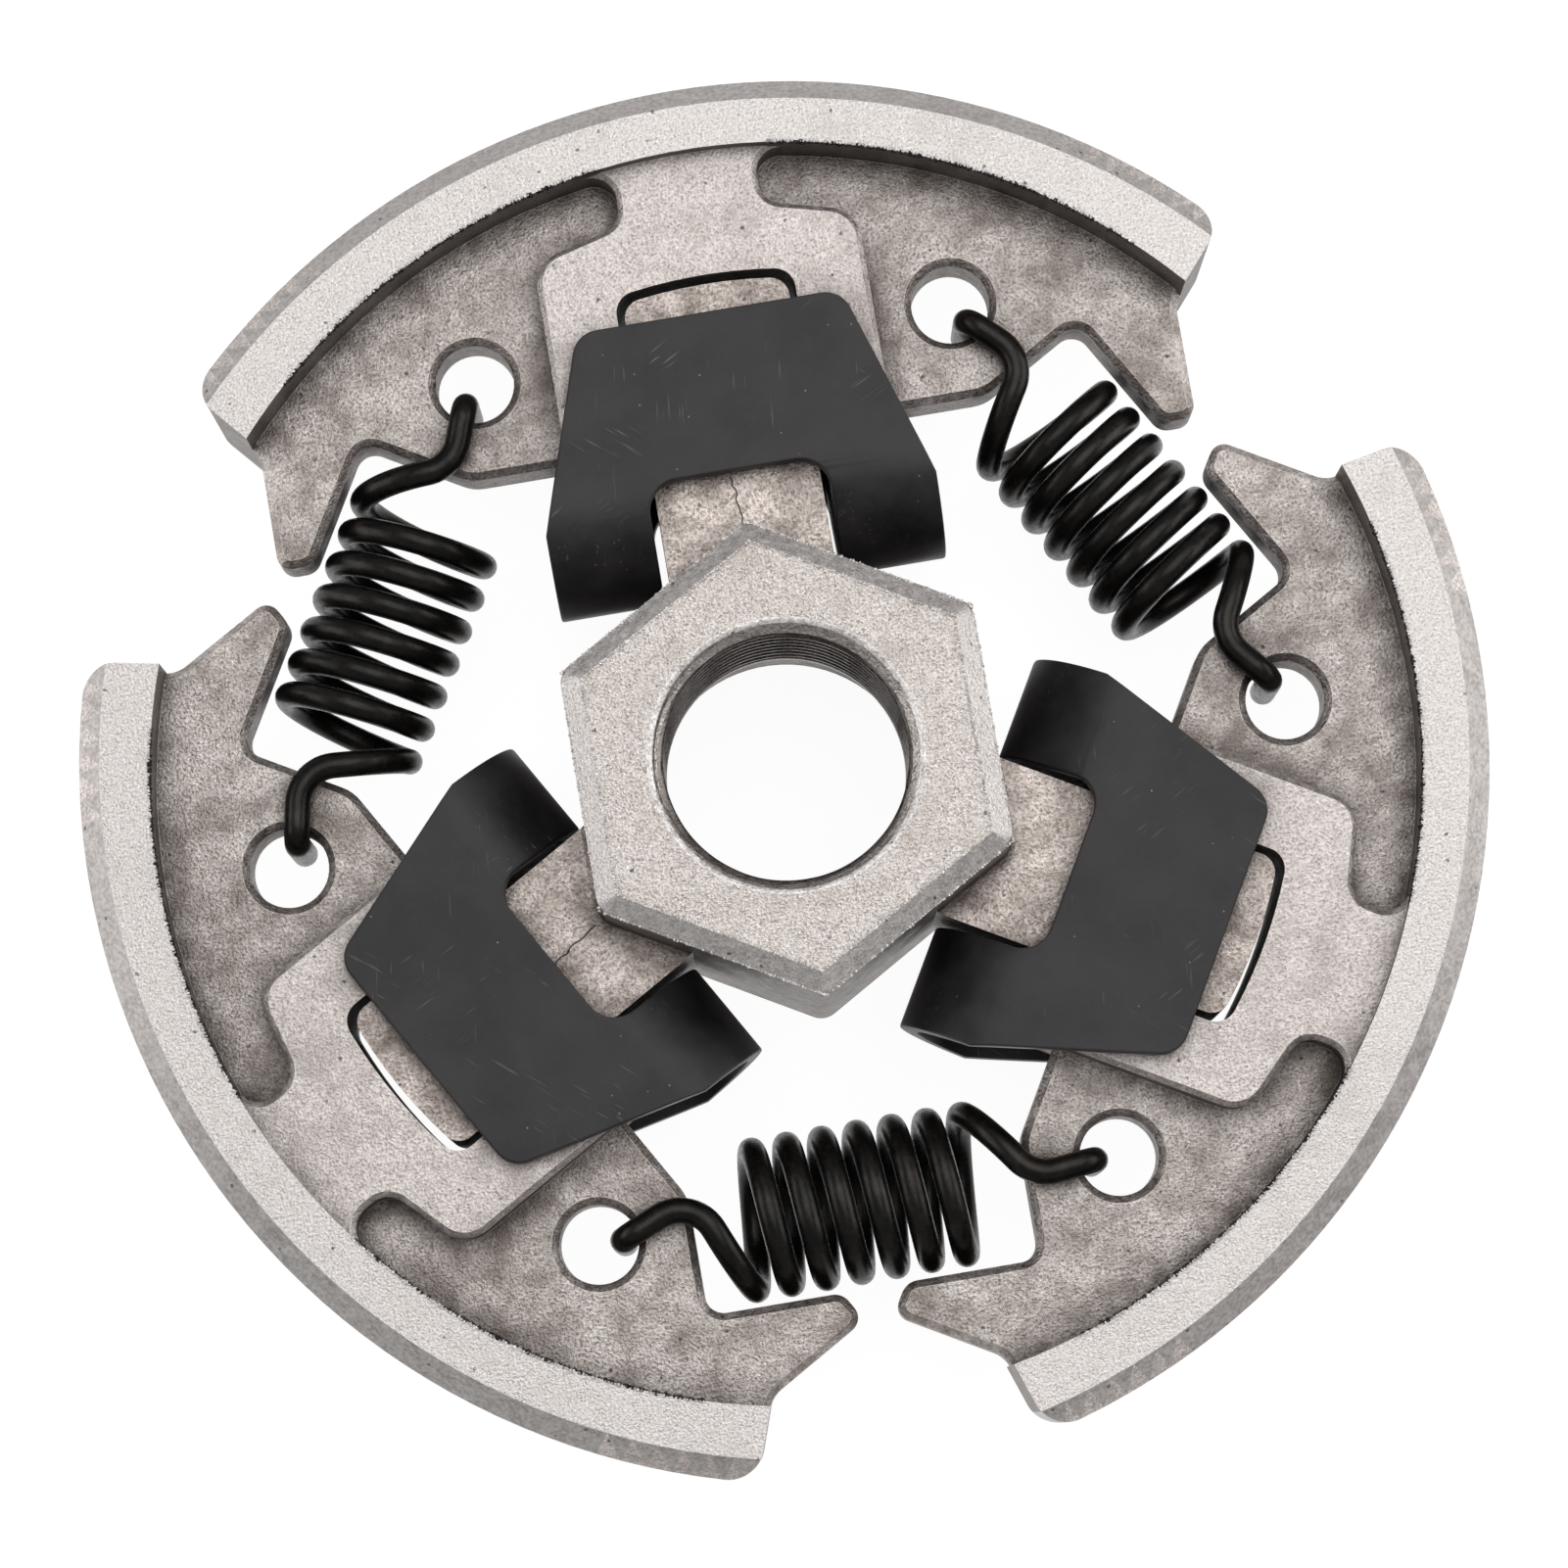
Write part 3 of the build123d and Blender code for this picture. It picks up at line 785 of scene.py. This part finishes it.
@dataclass
class Shoe:
    """One sintered shoe: bevelled rim, recessed web with horns and holes, raised boss.

    Attributes:
        number: 1 to 3, clockwise from the upper shoe.
        sizes: the clutch's sizes.
        edge_mm: width of the rounded edges.
        face_margin: how far a face may lie over the web's or the boss's face and still be one of theirs.
        burr_start: angle from the arm at which the rim's burr starts, in degrees, beside the boss's neck.
        burr_points: points of the burr's line, one degree apart.
    """

    number: int
    sizes: ClutchSizes = SIZES
    edge_mm: float = 0.11
    face_margin: float = 0.3
    burr_start: float = 8.0
    burr_points: int = 36

    def zone(self, face: bmesh.types.BMFace) -> Zone:
        """Finish of one face, by its height and the way it looks, in the arm's frame.

        Args:
            face: a face of the shoe's shell.

        Returns:
            The finish's zone.
        """
        s = self.sizes
        centre = arm_frame(s.arm_angles[self.number - 1]).inverted() @ (face.calc_center_median() / MM)
        level = abs(centre.z - s.middle_plane)
        from_arc = math.hypot(centre.x - s.rim_centre, centre.y)
        if abs(face.normal.z) > 0.9 or (abs(face.normal.z) > 0.5 and level < s.boss_half + 0.1):
            if level < s.web_half + self.face_margin:
                return Zone.RECESS
            return Zone.BOSS if level < s.boss_half + self.face_margin else Zone.RIM
        if from_arc > s.rim_outer_radius - s.rim_bevel - 0.05 and centre.x > 20.0:
            return Zone.TURNED
        return Zone.WALL

    def burr_lines(self, below: float, inside: float) -> list[list[Vector]]:
        """Raised edge along the inside of the rim's front face, on both sides of the neck, in millimetres.

        Args:
            below: how far under the edge the lines run.
            inside: how far they run from the edge into the metal.

        Returns:
            Two open lines of points.
        """
        s = self.sizes
        place = arm_frame(s.arm_angles[self.number - 1], s.middle_plane)
        lines = []
        for side in (-1, 1):
            angles = [side * math.radians(self.burr_start + i) for i in range(self.burr_points)]
            radius = s.rim_inner_radius + inside
            lines.append([place @ Vector((radius * math.cos(a), radius * math.sin(a), s.rim_half_height - below))
                          for a in angles])
        return lines

    def build(self, steel: Sequence[bpy.types.Material]) -> bpy.types.Object:
        """Build the shoe's piece and let it stand for its node.

        Args:
            steel: the sintered materials, in the zones' order.

        Returns:
            The piece.
        """
        node = f"shoe_{self.number}"
        shell = merged_copy(node)
        shell.normal_update()
        for face in shell.faces:
            face.material_index = self.zone(face).value
        piece = finish_shell(shell, f"{node}_steel", self.edge_mm, Zone.EDGE.value, steel)
        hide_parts(node)
        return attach(piece, node)


@dataclass
class Retainer:
    """One folded sheet clip.

    Attributes:
        number: the number of the shoe that it holds.
        edge_mm: width of the rounded edges.
    """

    number: int
    edge_mm: float = 0.13

    def build(self, sheet: bpy.types.Material) -> bpy.types.Object:
        """Build the clip's piece and let it stand for its node.

        Args:
            sheet: the clip's material.

        Returns:
            The piece.
        """
        node = f"retainer_{self.number}"
        piece = finish_shell(merged_copy(node), f"{node}_sheet", self.edge_mm, 0, [sheet])
        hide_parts(node)
        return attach(piece, f"shoe_{self.number}")


class BurrTree:
    """Node tree that sets small lumps of metal along a path of edges.

    Attributes:
        shadow_lump_spacing: distance from lump to lump in the dark scale that is also painted shadow under the edge, in
            millimetres.
        burr_spacing: the same in the burr, whose near-white finish is partly rubbed metal and partly a painted
            highlight.
    """

    shadow_lump_spacing: float = 0.08
    burr_spacing: float = 0.15

    def __init__(self) -> None:
        """Build the tree with its named inputs, and keep their identifiers."""
        self.tree = bpy.data.node_groups.new("burr along a path", "GeometryNodeTree")
        face = self.tree.interface
        face.new_socket("Geometry", in_out="OUTPUT", socket_type="NodeSocketGeometry")
        face.new_socket("Geometry", in_out="INPUT", socket_type="NodeSocketGeometry")
        self.spacing = face.new_socket("Spacing", in_out="INPUT", socket_type="NodeSocketFloat").identifier
        self.size = face.new_socket("Size", in_out="INPUT", socket_type="NodeSocketFloat").identifier
        self.seed = face.new_socket("Seed", in_out="INPUT", socket_type="NodeSocketInt").identifier
        self.finish = face.new_socket("Finish", in_out="INPUT", socket_type="NodeSocketMaterial").identifier
        tree = self.tree
        given = add_node(tree, "NodeGroupInput").outputs
        path = add_node(tree, "GeometryNodeMeshToCurve", {"Mesh": given["Geometry"]}).outputs["Curve"]
        even = add_node(tree, "GeometryNodeResampleCurve", {"Curve": path, "Length": given["Spacing"]},
                        mode="LENGTH").outputs["Curve"]
        grain = add_node(tree, "GeometryNodeMeshIcoSphere", {"Radius": 1.0, "Subdivisions": 1}).outputs["Mesh"]
        turn = add_node(tree, "FunctionNodeRandomValue", {0: (0.0, 0.0, 0.0), 1: (math.tau,) * 3,
                                                          "Seed": given["Seed"]}, data_type="FLOAT_VECTOR")
        kept = add_node(tree, "FunctionNodeRandomValue", {"Probability": 0.72, "Seed": given["Seed"]},
                        data_type="BOOLEAN")
        size = add_node(tree, "FunctionNodeRandomValue", {0: (0.25, 0.25, 0.25), 1: (1.0, 1.0, 0.7),
                                                          "Seed": given["Seed"]}, data_type="FLOAT_VECTOR")
        scale = add_node(tree, "ShaderNodeVectorMath", {0: size.outputs["Value"], "Scale": given["Size"]},
                         operation="SCALE").outputs["Vector"]
        lumps = add_node(tree, "GeometryNodeInstanceOnPoints", {
            "Points": even, "Instance": grain, "Selection": kept.outputs[3], "Rotation": turn.outputs["Value"],
            "Scale": scale})
        real = add_node(tree, "GeometryNodeRealizeInstances", {"Geometry": lumps.outputs["Instances"]})
        dressed = add_node(tree, "GeometryNodeSetMaterial", {"Geometry": real.outputs["Geometry"],
                                                             "Material": given["Finish"]})
        add_node(tree, "NodeGroupOutput", {"Geometry": dressed.outputs["Geometry"]})

    def lay(self, name: str, lines: Sequence[Sequence[Vector]], spacing_mm: float, size_mm: float, seed: int,
            finish: bpy.types.Material, body: str) -> bpy.types.Object:
        """Lay lumps along lines and let them ride on a body.

        Args:
            name: the piece's name.
            lines: open lines of points, in millimetres.
            spacing_mm: distance from lump to lump.
            size_mm: radius of the largest lump.
            seed: seed of the lumps' turns and sizes.
            finish: the lumps' material.
            body: the body that carries them.

        Returns:
            The lumps' object.
        """
        points = [tuple(p * MM) for line in lines for p in line]
        edges, first = [], 0
        for line in lines:
            edges += [(first + i, first + i + 1) for i in range(len(line) - 1)]
            first += len(line)
        path = bpy.data.meshes.new(name)
        path.from_pydata(points, edges, [])
        source = mesh_object(name + "_path", path)
        nodes = source.modifiers.new("burr", "NODES")
        nodes.node_group = self.tree
        nodes[self.spacing] = spacing_mm * MM
        nodes[self.size] = size_mm * MM
        nodes[self.seed] = seed
        nodes[self.finish] = finish
        piece = baked(source, name)
        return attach(piece, body)

    def dress(self, piece: Union["Carrier", "Shoe"], body: str, steel: Sequence[bpy.types.Material],
              size_mm: float, seed: int, scale_and_shadow_line: bool) -> None:
        """Lay bright burr on a piece's rubbed edges, in the finish painted near white as a highlight, and where asked a
        line of dark scale just under it that is also painted shadow.

        Args:
            piece: the sub-assembly that has the edges.
            body: the body that carries them, which also names the new pieces.
            steel: the sintered materials, in the zones' order.
            size_mm: radius of the largest lump.
            seed: seed of the lumps' turns and sizes.
            scale_and_shadow_line: whether the edge gets dark scale under its burr, which is also painted shadow.
        """
        # Painted shadow: near-black lumps laid half a lump under the edge, partly scale and partly the shade under the
        # edge
        if scale_and_shadow_line:
            scale = self.lay(f"{body}_scale", piece.burr_lines(0.5 * size_mm, 0.0), self.shadow_lump_spacing,
                             1.4 * size_mm, seed, steel[Zone.SCALE.value], body)
            LOG.info("scale: %s", scale.name)
        # Burr lumps on the edge, in the rubbed finish that is painted near white as a highlight
        lumps = self.lay(f"{body}_burr", piece.burr_lines(-0.1 * size_mm, 0.3 * size_mm), self.burr_spacing,
                         size_mm, seed + 50, steel[Zone.EDGE.value], body)
        LOG.info("burr: %s", lumps.name)


class WireTree:
    """Node tree that sweeps a round wire along a path of edges."""

    def __init__(self) -> None:
        """Build the tree with its named inputs, and keep their identifiers."""
        self.tree = bpy.data.node_groups.new("wire along a path", "GeometryNodeTree")
        face = self.tree.interface
        face.new_socket("Geometry", in_out="OUTPUT", socket_type="NodeSocketGeometry")
        face.new_socket("Geometry", in_out="INPUT", socket_type="NodeSocketGeometry")
        self.radius = face.new_socket("Wire Radius", in_out="INPUT", socket_type="NodeSocketFloat").identifier
        self.sides = face.new_socket("Sides", in_out="INPUT", socket_type="NodeSocketInt").identifier
        self.finish = face.new_socket("Finish", in_out="INPUT", socket_type="NodeSocketMaterial").identifier
        tree = self.tree
        given = add_node(tree, "NodeGroupInput").outputs
        path = add_node(tree, "GeometryNodeMeshToCurve", {"Mesh": given["Geometry"]}).outputs["Curve"]
        section = add_node(tree, "GeometryNodeCurvePrimitiveCircle", {"Radius": given["Wire Radius"],
                                                                      "Resolution": given["Sides"]})
        swept = add_node(tree, "GeometryNodeCurveToMesh", {"Curve": path, "Profile Curve": section.outputs["Curve"],
                                                           "Fill Caps": True})
        smooth = add_node(tree, "GeometryNodeSetShadeSmooth", {"Geometry": swept.outputs["Mesh"]})
        real = add_node(tree, "GeometryNodeRealizeInstances", {"Geometry": smooth.outputs["Geometry"]})
        dressed = add_node(tree, "GeometryNodeSetMaterial", {"Geometry": real.outputs["Geometry"],
                                                             "Material": given["Finish"]})
        add_node(tree, "NodeGroupOutput", {"Geometry": dressed.outputs["Geometry"]})

    def sweep(self, name: str, points: Sequence[Vector], radius_mm: float, finish: bpy.types.Material,
              sides: int = 20) -> bpy.types.Object:
        """Make a wire along points and bake it to a plain mesh.

        Args:
            name: the piece's name.
            points: the wire's centre line, in millimetres.
            radius_mm: the wire's radius.
            finish: the wire's material.
            sides: faces round the wire.

        Returns:
            The wire's object.
        """
        path = bpy.data.meshes.new(name)
        path.from_pydata([tuple(p * MM) for p in points], [(i, i + 1) for i in range(len(points) - 1)], [])
        source = mesh_object(name + "_path", path)
        nodes = source.modifiers.new("wire", "NODES")
        nodes.node_group = self.tree
        nodes[self.radius] = radius_mm * MM
        nodes[self.sides] = sides
        nodes[self.finish] = finish
        return baked(source, name)


def baked(source: bpy.types.Object, name: str) -> bpy.types.Object:
    """Turn an object with modifiers into a plain mesh object, and remove the source.

    Args:
        source: the object with its modifiers.
        name: the plain object's name.

    Returns:
        The plain object.
    """
    evaluated = source.evaluated_get(bpy.context.evaluated_depsgraph_get())
    mesh = bpy.data.meshes.new_from_object(evaluated)
    bpy.data.objects.remove(source)
    return mesh_object(name, mesh)


@dataclass
class Spring:
    """One tension spring between two shoes, made of two halves.

    Attributes:
        number: 1 to 3, clockwise from the upper right spring.
        leans: how far each hook leans from the hub's side as it leaves the coil, in degrees.
        sizes: the clutch's sizes.
        hook_turn_radius: radius of the hook's turn beside the coil.
        hook_bend_radius: radius of the hook's bend down into the hole.
        hook_tail: length of the tail in the hole.
        steps_per_turn: points on one turn of the coil.
    """

    number: int
    leans: tuple[float, float]
    sizes: ClutchSizes = SIZES
    hook_turn_radius: float = 1.8
    hook_bend_radius: float = 0.9
    hook_tail: float = 3.8
    steps_per_turn: int = 48

    def placing(self) -> Matrix:
        """Matrix from the spring's own frame, +X to the hub, +Y up and +Z along the coil, to the clutch's frame.

        Returns:
            The matrix, in millimetres.
        """
        s = self.sizes
        angle = math.radians(s.arm_angles[0] - (self.number - 0.5) * 120.0)
        inwards = Vector((-math.cos(angle), -math.sin(angle), 0.0))
        up = Vector((0.0, 0.0, 1.0))
        level = s.middle_plane + s.web_half + s.wire_radius + s.seat_gap - s.coil_radius
        centre = -inwards * s.spring_line + up * level
        turn = Matrix((inwards, up, inwards.cross(up))).transposed()
        return Matrix.Translation(centre) @ turn.to_4x4()

    def coil(self) -> list[Vector]:
        """Centre line of half the coil, from the spring's middle back to the first hook.

        Returns:
            Points in the spring's own frame.
        """
        s = self.sizes
        half = s.coil_turns / 2
        count = round(half * self.steps_per_turn)
        points = []
        for step in range(count + 1):
            turns = -half * step / count
            angle = math.radians(270.0 + 360.0 * turns)
            points.append(Vector((s.coil_radius * math.cos(angle), s.coil_radius * math.sin(angle),
                                  s.coil_pitch * turns)))
        return points

    @staticmethod
    def bend(start: Vector, before: Vector, after: Vector, radius: float, steps: int = 10) -> list[Vector]:
        """Points of an arc that turns the wire from one direction to another, without its start.

        Args:
            start: where the arc starts.
            before: direction before the arc.
            after: direction after it.
            radius: the arc's radius.
            steps: number of points.

        Returns:
            The points.
        """
        turn = before.angle(after)
        side = (after - before * before.dot(after)).normalized()
        angles = [turn * (i + 1) / steps for i in range(steps)]
        return [start + before * (radius * math.sin(a)) + side * (radius * (1 - math.cos(a))) for a in angles]

    @staticmethod
    def level(angle: float) -> Vector:
        """Level direction, turned from the hub's side towards the first hook."""
        return Vector((math.cos(angle), 0.0, -math.sin(angle)))

    def hook(self, start: Vector, lean: float) -> list[Vector]:
        """Centre line of a hook: up from the coil, across the web and down through the hole.

        Args:
            start: end of the coil.
            lean: how far the hook leans from the hub's side as it leaves the coil, in degrees.

        Returns:
            Points in the spring's own frame.
        """
        s = self.sizes
        rising = Vector((0.0, math.tau * s.coil_radius, -s.coil_pitch)).normalized()
        across = self.level(math.radians(lean))
        pull = rising.dot(across)
        lift = s.coil_radius / (rising.y * (1 - pull) / math.sqrt(1 - pull ** 2))
        points = self.bend(start, rising, across, lift, 16)
        seat = Vector((0.0, s.coil_radius, s.hole_radius - s.hole_half_spacing - s.wire_radius - s.seat_gap))
        centre = points[-1] + self.level(math.radians(lean + 90.0)) * self.hook_turn_radius
        reach = seat - centre
        run = self.level(math.atan2(-reach.z, reach.x) + math.asin(self.hook_turn_radius / reach.length))
        points += self.bend(points[-1], across, run, self.hook_turn_radius, 12)
        drop_start = seat - run * self.hook_bend_radius
        points += [points[-1].lerp(drop_start, share) for share in (0.25, 0.5, 0.75, 1.0)]
        points += self.bend(drop_start, run, Vector((0.0, -1.0, 0.0)), self.hook_bend_radius, 10)
        return points + [points[-1] - Vector((0.0, self.hook_tail, 0.0))]

    def half(self, lean: float) -> list[Vector]:
        """Centre line from the spring's middle to the end of its first hook."""
        points = self.coil()
        return points + self.hook(points[-1], lean)

    def build(self, wire: WireTree, finish: bpy.types.Material) -> list[bpy.types.Object]:
        """Build both halves, one from the spring's middle to each hook.

        Args:
            wire: the tree that sweeps them.
            finish: their material.

        Returns:
            The two halves.
        """
        placing = self.placing()
        turned = Matrix.Rotation(math.pi, 4, "Y")
        shoes = (self.number % 3 + 1, self.number)
        halves = []
        for end, (lean, shoe) in enumerate(zip(self.leans, shoes)):
            place = placing @ turned if end else placing
            points = [place @ point for point in self.half(lean)]
            piece = wire.sweep(f"spring_{self.number}_half_{end + 1}", points, self.sizes.wire_radius, finish)
            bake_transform(piece)
            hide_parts(f"spring_{self.number}")
            halves.append(piece)
        return halves


# Radius of the largest lump of burr; real burr is near 0.05 mm, drawn coarser so that it shows
HUB_BURR_MM = 0.14
SHOE_BURR_MM = 0.13
# Lean of each spring's two hooks as the photograph shows them, in degrees: no two springs were wound alike
HOOK_LEANS = {1: (32.0, 28.0), 2: (22.0, 35.0), 3: (32.0, 26.0)}


@dataclass
class Studio:
    """Camera, lamps and floor.

    The camera's place was found by fitting the hexagon, the bore, the holes and the rims: it looks almost
    straight down at the hexagon's face from a quarter of a metre.

    Attributes:
        target_mm: the point that the camera looks at.
        distance_mm: its distance from there.
        azimuth: its turn round the bore's axis, in degrees.
        elevation: its height over the horizon, in degrees.
        roll: its turn round its own axis, in degrees.
        pixels_per_mm: scale of the frame at the target.
        frame_pixels: width of the frame.
        sensor_mm: width of the sensor.
        lamps: name, place in metres, side in metres and power in watts of each soft lamp.
        room_light: strength of the white world.
        floor_half: half the floor's side, in metres.
    """

    target_mm: tuple[float, float, float] = (-0.313, -1.28, 16.5)
    distance_mm: float = 250.0
    azimuth: float = -8.92
    elevation: float = 83.308
    roll: float = -0.745
    pixels_per_mm: float = 22.709
    frame_pixels: int = 1601
    sensor_mm: float = 36.0
    lamps: tuple[tuple[str, tuple[float, float, float], float, float], ...] = (
        ("overhead", (0.1, 0.16, 0.7), 0.6, 2.5), ("right", (0.6, 0.02, 0.2), 0.5, 1.8),
        ("left", (-0.6, 0.12, 0.2), 0.5, 1.5))
    room_light: float = 0.36
    floor_half: float = 1.5

    def camera(self) -> bpy.types.Object:
        """Create the camera and make it the scene's.

        Returns:
            The camera.
        """
        a, e, r = (math.radians(v) for v in (self.azimuth, self.elevation, self.roll))
        back = Vector((math.sin(a) * math.cos(e), -math.cos(a) * math.cos(e), math.sin(e)))
        right = Vector((math.cos(a), math.sin(a), 0.0))
        up = back.cross(right)
        axes = Matrix((right * math.cos(r) + up * math.sin(r), up * math.cos(r) - right * math.sin(r), back))
        data = bpy.data.cameras.new("camera")
        data.sensor_width = self.sensor_mm
        data.lens = self.sensor_mm * self.pixels_per_mm * self.distance_mm / self.frame_pixels
        data.clip_start = 0.01
        camera = bpy.data.objects.new("camera", data)
        place = (Vector(self.target_mm) + back * self.distance_mm) * MM
        camera.matrix_world = Matrix.Translation(place) @ axes.transposed().to_4x4()
        bpy.context.scene.collection.objects.link(camera)
        bpy.context.scene.camera = camera
        return camera

    def lamp(self, name: str, place: Sequence[float], size: float, power: float) -> bpy.types.Object:
        """Add a square soft lamp that points at the clutch.

        Args:
            name: the lamp's name.
            place: its place in metres.
            size: its side in metres.
            power: its power in watts.

        Returns:
            The lamp.
        """
        data = bpy.data.lights.new(name, "AREA")
        data.size = size
        data.energy = power
        lamp = bpy.data.objects.new(name, data)
        lamp.location = place
        lamp.rotation_euler = Vector(place).to_track_quat("Z", "Y").to_euler()
        bpy.context.scene.collection.objects.link(lamp)
        return lamp

    def build(self) -> None:
        """Set the whole studio up."""
        scene = bpy.context.scene
        scene.view_settings.view_transform = "Standard"
        self.camera()
        for name, place, size, power in self.lamps:
            self.lamp(name, place, size, power)
        world = bpy.data.worlds.new("room")
        world.use_nodes = True
        world.node_tree.nodes.clear()
        glow = add_node(world.node_tree, "ShaderNodeBackground", {"Color": linear("#ffffff"),
                                                                  "Strength": self.room_light})
        add_node(world.node_tree, "ShaderNodeOutputWorld", {"Surface": glow})
        scene.world = world
        sheet = bpy.data.meshes.new("floor")
        half = self.floor_half
        sheet.from_pydata([(-half, -half, 0.0), (half, -half, 0.0), (half, half, 0.0), (-half, half, 0.0)], [],
                          [(0, 1, 2, 3)])
        sheet.materials.append(PaleFloor().material())
        mesh_object("floor", sheet)


def main() -> None:
    """Build and dress every piece of the clutch."""
    logging.basicConfig(level=logging.INFO, format="%(message)s")
    Studio().build()
    steel = [STEEL[zone].material() for zone in Zone]
    sheet = BlackenedSheet().material()
    wire_finish = SpringWire().material()
    wire = WireTree()
    burr = BurrTree()
    carrier = Carrier()
    LOG.info("carrier: %s", carrier.build(steel).name)
    burr.dress(carrier, "carrier", steel, HUB_BURR_MM, 7, scale_and_shadow_line=False)
    for number in (1, 2, 3):
        shoe = Shoe(number)
        LOG.info("shoe: %s", shoe.build(steel).name)
        burr.dress(shoe, f"shoe_{number}", steel, SHOE_BURR_MM, number, scale_and_shadow_line=True)
        LOG.info("retainer: %s", Retainer(number).build(sheet).name)
    for seam in carrier.seams(wire, steel[Zone.SCALE.value]):
        LOG.info("seam: %s", seam.name)
    for number, leans in HOOK_LEANS.items():
        halves = Spring(number, leans).build(wire, wire_finish)
        LOG.info("spring: %s", ", ".join(half.name for half in halves))


if __name__ == "__main__":
    main()
